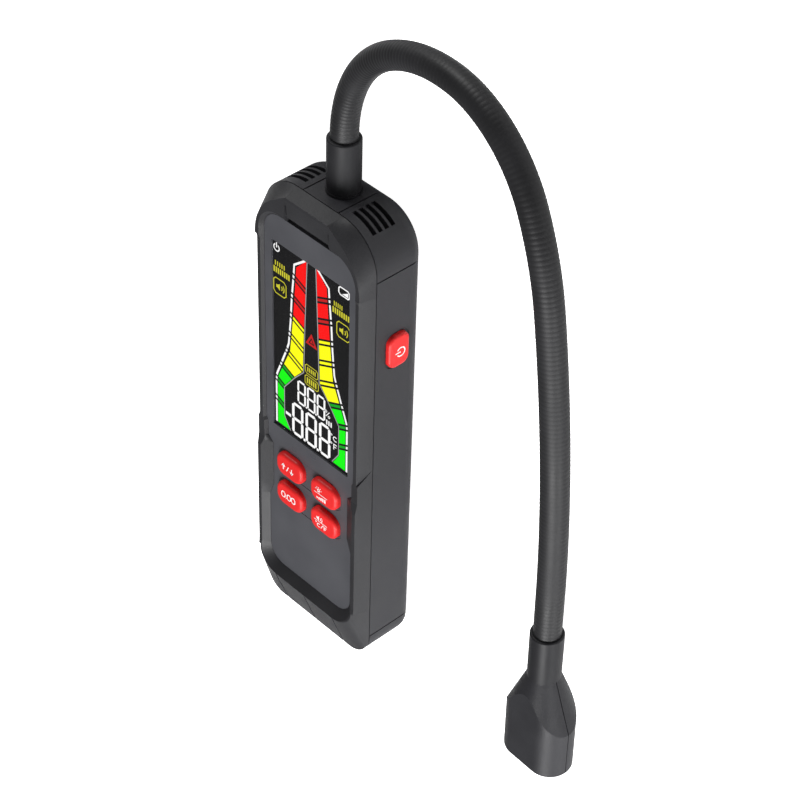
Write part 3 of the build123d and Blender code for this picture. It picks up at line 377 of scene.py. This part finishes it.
display_low, display_high = span("display_window")
display_fit = 0.08
display_left = display_low[0] - display_fit
display_top = display_high[1] + display_fit
display_middle = (display_low[0] + display_high[0]) / 2 - display_left
print_gap = 0.02
print_floor = span("lcd_module")[1][2]
print_thickness = 0.03
band_outer = ((2.7, 0.6), (7.4, 5.6), (8.15, 16.0), (9.15, 28.0), (10.15, 38.0), (10.75, 43.0), (16.8, 57.6),
              (17.15, 60.0), (17.15, 78.6))
band_inner = ((2.48, 0.6), (3.18, 20.0), (3.78, 30.0), (4.38, 48.0), (8.6, 53.0), (14.1, 60.5),
              (14.1, 73.7), (11.1, 78.6))
rim_outer = ((3.3, 0.2), (8.8, 4.9), (9.2, 10.0), (10.2, 20.0), (10.8, 30.0), (11.8, 40.0), (12.9, 43.5),
             (18.0, 57.0), (18.3, 60.0), (18.3, 78.7))
rim_width = 0.8
edge_line = ((2.1, 0.3), (3.1, 25.0), (3.9, 48.2), (8.2, 53.1), (13.8, 60.7), (13.8, 73.6), (10.6, 78.6))
edge_width = 0.32
line_slope = 0.45
first_line = 14.2
line_pitch = 8.8
line_split = 2.0
line_width = 0.9
line_count = 8
first_yellow = 2
first_green = 5


def drawing():
    return Drawing((display_left, display_top, print_floor + print_gap), (1, 0, 0), (0, -1, 0), (0, 0, 1),
                   print_thickness)


def trimmed(points, limit, side):
    """The part of an outline on one side of a line that slopes down towards the display's middle."""
    kept = []
    for here, there in zip(points, points[1:] + points[:1]):
        level = side * (here[1] + line_slope * here[0] - limit)
        next_level = side * (there[1] + line_slope * there[0] - limit)
        if level >= 0:
            kept.append(here)
        if level * next_level < 0:
            share = level / (level - next_level)
            kept.append((here[0] + share * (there[0] - here[0]), here[1] + share * (there[1] - here[1])))
    return kept


def inner_side(points, width):
    """Points of a polyline moved towards the display's middle by a width."""
    moved = []
    for index, point in enumerate(points):
        before, after = Vector(points[max(index - 1, 0)]), Vector(points[min(index + 1, len(points) - 1)])
        way = (after - before).normalized()
        moved.append((point[0] - width * way.y, point[1] + width * way.x))
    return moved


half_line = line_width / 2
strips = []
start = -10.0
for number in range(line_count):
    pair = first_line + number * line_pitch
    strips.append((start, pair - line_split / 2 - half_line, number, False))
    strips.append((pair - line_split / 2 + half_line, pair + line_split / 2 - half_line, number, True))
    start = pair + line_split / 2 + half_line
strips.append((start, 100.0, line_count, False))

band = list(band_outer) + list(reversed(band_inner))
rim = list(rim_outer) + list(reversed(inner_side(rim_outer, rim_width)))
gauge = {name: drawing() for name in ("red", "dim_red", "yellow", "green", "dim_green", "rim")}
for low, high, number, between in strips:
    first_colour_line = number + (1 if between else 0)
    if first_colour_line <= first_yellow:
        colour = "dim_red" if between else "red"
    elif first_colour_line <= first_green:
        colour = "yellow"
    else:
        colour = "dim_green" if between else "green"
    for side in (-1, 1):
        for outline, target in ((band, colour), (rim, "rim")):
            piece = trimmed(trimmed(outline, low, 1), high, -1)
            if len(piece) > 2:
                gauge[target].fill([(display_middle + side * x, depth) for x, depth in piece])
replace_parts(gauge["red"].finish("gauge_red_fields", red_print, "gauge_red", "housing"), "gauge_red")
gauge["dim_red"].finish("gauge_red_gaps", dim_red_print, "gauge_red", "housing")
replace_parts(gauge["yellow"].finish("gauge_yellow_fields", yellow_print, "gauge_yellow", "housing"),
            "gauge_yellow")
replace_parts(gauge["green"].finish("gauge_green_fields", green_print, "gauge_green", "housing"),
            "gauge_green")
gauge["dim_green"].finish("gauge_green_gaps", dim_green_print, "gauge_green", "housing")
gauge["rim"].finish("gauge_rim", white_print, "display_digits", "housing")

edges = drawing()
for side in (-1, 1):
    edges.line([(display_middle + side * x, depth) for x, depth in edge_line], edge_width)
edges.finish("gauge_edges", grey_print, "display_digits", "housing")

digits = drawing()
for left in (12.0, 16.9, 21.8):
    digits.digit(left, 53.0, 4.3, 10.3, 0.85)
for left in (9.2, 16.1, 23.0):
    digits.digit(left, 64.4, 5.8, 14.4, 1.2)
digits.fill([(5.9, 71.1), (8.6, 71.1), (8.6, 72.3), (5.9, 72.3)])
for x, depth, size in ((15.6, 78.2, 0.5), (22.4, 78.2, 0.5), (16.6, 62.9, 0.35), (21.4, 62.9, 0.35)):
    digits.fill([(x - size, depth - size), (x + size, depth - size), (x + size, depth + size),
                 (x - size, depth + size)])
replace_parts(digits.finish("digit_strokes", white_print, "display_digits", "housing"), "display_digits")

signs = drawing()
signs.arc((1.9, 3.0), 1.35, -60, 240, 0.45)
signs.line([(1.9, 0.9), (1.9, 2.9)], 0.45)
signs.frame(32.3, 1.1, 37.4, 4.2, 0.5, 0.7)
signs.fill([(33.9, 3.6), (36.8, 1.8), (36.8, 3.6)])
signs.arc((26.5, 58.0), 0.45, 0, 360, 0.25, 8)
signs.arc((28.0, 59.9), 0.45, 0, 360, 0.25, 8)
signs.line([(26.4, 60.2), (28.2, 57.7)], 0.3)
signs.bars(26.6, 61.6, 3.3, 2.1, 3, 0.55)
for depth in (66.3, 70.0):
    signs.arc((29.3, depth + 0.3), 0.32, 0, 360, 0.22, 8)
signs.arc((31.2, 67.7), 0.95, 50, 310, 0.38)
signs.line([(32.0, 70.2), (30.5, 70.2), (30.5, 72.6)], 0.38)
signs.line([(30.7, 71.3), (31.7, 71.3)], 0.34)
signs.finish("display_signs", white_print, "display_digits", "housing")

lamps = drawing()
for left in (0.3, 31.5):
    lamps.frame(left, 15.6, left + 6.2, 22.0, 0.36, 1.0)
    lamps.speaker(left + 1.3, 18.8, 3.9)
for left, width in ((1.0, 5.5), (30.0, 4.6)):
    lamps.bars(left, 8.5, width, 1.9, 5, 0.42)
for left in (0.3, 29.4):
    lamps.bars(left, 11.0, 8.4, 2.4, 8, 0.6)
lamps.frame(16.0, 43.6, 22.3, 47.3, 0.3, 0.7)
lamps.bars(17.0, 44.5, 4.6, 1.9, 5, 0.55)
lamps.frame(15.9, 48.3, 22.6, 52.3, 0.3, 0.7)
lamps.bars(16.8, 49.1, 5.2, 2.4, 5, 0.6)
lamps.finish("display_lamps", amber_print, "gauge_yellow", "housing")

alarm = drawing()
alarm.line([(19.1, 30.0), (21.3, 34.0), (16.9, 34.0)], 0.8, True)
alarm.fill([(19.1, 31.7), (19.8, 33.1), (18.4, 33.1)])
alarm.finish("alarm_sign", dim_red_print, "gauge_red", "housing")


# Legends printed on the keys

ink_gap = 0.01
ink_thickness = 0.03


def key_legend(key):
    """A drawing on the flat top of a front key, from its middle."""
    low, high = span(key)
    middle = ((low[0] + high[0]) / 2, (low[1] + high[1]) / 2, high[2] + ink_gap)
    return Drawing(middle, (1, 0, 0), (0, 1, 0), (0, 0, 1), ink_thickness)


legend = key_legend("level_key")
legend.line([(-2.6, -1.5), (-2.6, 0.8)], 0.42)
legend.line([(-3.4, -0.1), (-2.6, 0.95), (-1.8, -0.1)], 0.42)
legend.line([(-0.9, -1.4), (0.1, 0.9)], 0.36)
legend.line([(1.7, 0.9), (1.7, -1.4)], 0.42)
legend.line([(0.9, -0.5), (1.7, -1.55), (2.5, -0.5)], 0.42)
legend.finish("level_legend", legend_print, "key", "level_key")

legend = key_legend("zero_key")
for left in (-3.6, -0.7, 1.6):
    legend.frame(left, -1.1, left + 1.8, 1.3, 0.42, 0.5)
legend.fill([(-1.4, -1.3), (-1.0, -1.3), (-1.0, -0.9), (-1.4, -0.9)])
legend.finish("zero_legend", legend_print, "key", "zero_key")

legend = key_legend("light_key")
legend.fill([(-2.5, 0.1), (-1.5, 0.1), (-1.5, 0.6), (-2.5, 0.6)])
legend.arc((-2.0, 0.7), 0.6, 0, 180, 0.4, 8)
for angle in (20, 55, 90, 125, 160):
    way = Vector((cos(radians(angle)), sin(radians(angle))))
    legend.line([Vector((-2.0, 0.7)) + 1.15 * way, Vector((-2.0, 0.7)) + 1.75 * way], 0.24)
legend.line([(-4.2, -0.6), (2.4, -0.6)], 0.26)
for index in range(5):
    legend.fill([(-3.0 + index, -3.1), (-2.4 + index, -3.1), (-2.4 + index, -2.3 + 0.25 * index),
                 (-3.0 + index, -2.3 + 0.25 * index)])
legend.finish("light_legend", legend_print, "key", "light_key")

legend = key_legend("sound_key")
legend.speaker(-3.0, 1.3, 2.9)
legend.line([(-4.2, 0.0), (2.4, 0.0)], 0.26)
for left in (-3.2, 0.4):
    legend.arc((left, -0.9), 0.26, 0, 360, 0.2, 8)
legend.arc((-1.8, -1.8), 0.75, 50, 310, 0.34)
legend.line([(-0.7, -2.6), (0.1, -1.0)], 0.28)
legend.line([(2.1, -1.05), (1.0, -1.05), (1.0, -2.6)], 0.34)
legend.line([(1.2, -1.8), (1.9, -1.8)], 0.3)
legend.finish("sound_legend", legend_print, "key", "sound_key")

low, high = span("power_key")
power_centre = (high[0] + ink_gap, (low[1] + high[1]) / 2 - 0.5, (low[2] + high[2]) / 2 - 0.4)
legend = Drawing(power_centre, (0, 1, 0), (0, 0, 1), (1, 0, 0), ink_thickness)
legend.arc((0, 0), 1.75, 122, 418, 0.45, 24)
legend.line([(0, 0.1), (0, 2.4)], 0.45)
legend.finish("power_legend", legend_print, "power_key", "power_key")


# Gooseneck: a wound sleeve, the steel hose in it and the sensor's lead

neck_bends = ((49.6, 58.7), (63.0, 30.4), (43.9, 62.7), (107.0, 17.0), (580.0, 10.7))
neck_swing = radians(8.0)
neck_insert = 14.0
neck_lead = 0.6
neck_tail = 14.9
neck_radius = 4.7
neck_wall = 1.4
hose_radius = 3.25
hose_wall = 0.75
lead_radius = 2.0
winding_pitch = 1.6
winding_depth = 0.09
rings_per_winding = 6
neck_sides = 40
bore_step = 3.0
collar_low, collar_high = span("collar")
collar_top = collar_high[1]
neck_height = (collar_low[2] + collar_high[2]) / 2


def neck_line(start, end):
    """Steps along the gooseneck as (length, straight or arc data): place and direction in its plane."""
    pieces = []
    place = Vector((0.0, collar_top + neck_lead))
    heading = pi / 2
    pieces.append((Vector((0.0, start)), heading, place.y - start, 0.0))
    for radius, turn in neck_bends:
        pieces.append((place.copy(), heading, radius * radians(turn), radius))
        centre = place + radius * Vector((sin(heading), -cos(heading)))
        heading -= radians(turn)
        place = centre - radius * Vector((sin(heading), -cos(heading)))
    pieces.append((place.copy(), heading, end, 0.0))
    return pieces


def along(pieces, length):
    """Place and heading on the gooseneck's middle line at a length from its start."""
    for place, heading, reach, radius in pieces:
        if length <= reach or (place, heading, reach, radius) == pieces[-1]:
            if not radius:
                return place + length * Vector((cos(heading), sin(heading))), heading
            centre = place + radius * Vector((sin(heading), -cos(heading)))
            heading -= length / radius
            return centre - radius * Vector((sin(heading), -cos(heading))), heading
        length -= reach


def skin(bm, pieces, radius_at, step, sides):
    """One wall of a tube along the gooseneck; returns its first and its last ring of points."""
    total = sum(piece[2] for piece in pieces)
    count = max(2, int(total / step))
    rings = []
    out = Vector((-sin(neck_swing), 0.0, cos(neck_swing)))
    for index in range(count + 1):
        length = total * index / count
        place, heading = along(pieces, length)
        across = Vector((sin(heading) * cos(neck_swing), -cos(heading), sin(heading) * sin(neck_swing)))
        centre = Vector((place.x * cos(neck_swing), place.y, neck_height + place.x * sin(neck_swing)))
        ring = []
        for side in range(sides):
            angle = 2 * pi * side / sides
            rim = radius_at(length) * (cos(angle) * across + sin(angle) * out)
            ring.append(bm.verts.new((centre + rim) * MM))
        rings.append(ring)
    for low, high in zip(rings, rings[1:]):
        join_rings(bm, low, high)
    return rings[0], rings[-1]


def tube(name, start, end, radius_at, step, sides, material, bore=0.0):
    """A tube along the gooseneck whose outer radius follows a function of the length."""
    pieces = neck_line(start, end)
    bm = bmesh.new()
    first, last = skin(bm, pieces, radius_at, step, sides)
    if bore:
        inner_first, inner_last = skin(bm, pieces, lambda length: bore, bore_step, sides)
        join_rings(bm, inner_first, first)
        join_rings(bm, last, inner_last)
    else:
        bm.faces.new(first)
        bm.faces.new(reversed(last))
    bmesh.ops.recalc_face_normals(bm, faces=bm.faces)
    mesh = bpy.data.meshes.new(name)
    bm.to_mesh(mesh)
    bm.free()
    shade_smooth(mesh)
    piece = new_object(name, mesh, material, None)
    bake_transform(piece)
    return piece


def winding(length):
    """Outer radius of the wound sleeve: round beads with narrow valleys."""
    phase = (length / winding_pitch) % 1.0
    bead = sqrt(max(0.0, 1.0 - (2.0 * phase - 1.0) ** 2))
    return neck_radius - winding_depth * (1.0 - bead)


neck_start = collar_top - neck_insert
neck_end = neck_tail + neck_insert
sleeve = tube("wound_sleeve", neck_start, neck_end, winding, winding_pitch / rings_per_winding,
              neck_sides, neck_look.material, neck_radius - neck_wall)
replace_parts(sleeve, "gooseneck_sleeve")
hose = tube("steel_hose", neck_start, neck_end, lambda length: hose_radius, bore_step,
            neck_sides, hose_look.material, hose_radius - hose_wall)
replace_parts(hose, "gooseneck_core")
board_top = span("main_board")[1][1]
ferrule_length = 18.7
head_board_depth = 17.0
lead_end = neck_tail + ferrule_length + head_board_depth
lead = tube("sensor_wire", board_top, lead_end, lambda length: lead_radius, bore_step,
            neck_sides // 2, lead_look.material)
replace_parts(lead, "sensor_lead")


# Floor, light and camera, as the photograph was taken

camera_place = Vector((0.48445, 0.56894, 0.4572))
camera_aim = Vector((0.03735, 0.03365, 0.0200))
camera_roll = radians(-1.75)
camera_lens = 113.66
frame_side = 36.0

camera_data = bpy.data.cameras.new("camera")
camera_data.lens = camera_lens
camera_data.sensor_width = frame_side
camera_data.clip_start = 0.01
camera_data.clip_end = 50.0
camera = bpy.data.objects.new("camera", camera_data)
bpy.context.scene.collection.objects.link(camera)
forward = (camera_aim - camera_place).normalized()
level = forward.cross(Vector((0, 1, 0))).normalized()
upright = level.cross(forward)
turn = Matrix.Rotation(camera_roll, 3, forward)
right, up = turn @ level, turn @ upright
camera.matrix_world = Matrix.Translation(camera_place) @ Matrix((right, up, -forward)).transposed().to_4x4()
bpy.context.scene.camera = camera

floor_size = 8.0
floor_mesh = bpy.data.meshes.new("floor")
floor_mesh.from_pydata([(x * floor_size, y * floor_size, 0) for x, y in ((-1, -1), (1, -1), (1, 1), (-1, 1))],
                       [], [(0, 1, 2, 3)])
floor = bpy.data.objects.new("floor", floor_mesh)
bpy.context.scene.collection.objects.link(floor)
floor.location.z = -0.0005


def seen_directly(tree):
    """One for rays that come from the camera or through glass, and zero for the rest."""
    path = tree.nodes.new("ShaderNodeLightPath")
    total = tree.nodes.new("ShaderNodeMath")
    total.operation = "MAXIMUM"
    tree.links.new(path.outputs["Is Camera Ray"], total.inputs[0])
    tree.links.new(path.outputs["Is Transmission Ray"], total.inputs[1])
    return total.outputs[0]


floor_look = Look("pale_floor")
floor_look.set(Base_Color=floor_look.blend(floor_look.noise(3.0), (0.86, 0.86, 0.86), (0.88, 0.88, 0.88)),
               Roughness=0.9, Specular_IOR_Level=0.0, Emission_Color=(1.0, 1.0, 1.0, 1.0))
glow = floor_look.math("MULTIPLY", seen_directly(floor_look.tree), 1.0)
floor_look.set(Emission_Strength=glow)
floor_mesh.materials.append(floor_look.material)

world = bpy.data.worlds.new("studio")
world.use_nodes = True
bpy.context.scene.world = world
tree = world.node_tree
background = tree.nodes["Background"]
background.inputs["Color"].default_value = (1.0, 1.0, 1.0, 1.0)
ambient = 0.22
mix = tree.nodes.new("ShaderNodeMapRange")
mix.inputs["To Min"].default_value = ambient
mix.inputs["To Max"].default_value = 1.0
tree.links.new(seen_directly(tree), mix.inputs["Value"])
tree.links.new(mix.outputs["Result"], background.inputs["Strength"])


def area_light(name, place, aim, size, power):
    data = bpy.data.lights.new(name, "AREA")
    data.shape = "RECTANGLE"
    data.size, data.size_y = size
    data.energy = power
    lamp = bpy.data.objects.new(name, data)
    bpy.context.scene.collection.objects.link(lamp)
    lamp.location = place
    lamp.rotation_euler = (Vector(aim) - Vector(place)).to_track_quat("-Z", "Y").to_euler()


light_aim = (0.04, 0.02, 0.02)
area_light("key_light", (0.75, -0.9, 1.3), light_aim, (0.9, 0.9), 42.0)
area_light("side_light", (1.3, -0.6, 0.3), light_aim, (0.5, 0.5), 12.0)
area_light("roof_light", (-0.6, 1.2, 0.15), light_aim, (0.5, 0.3), 8.0)

scene = bpy.context.scene
scene.view_settings.view_transform = "Standard"
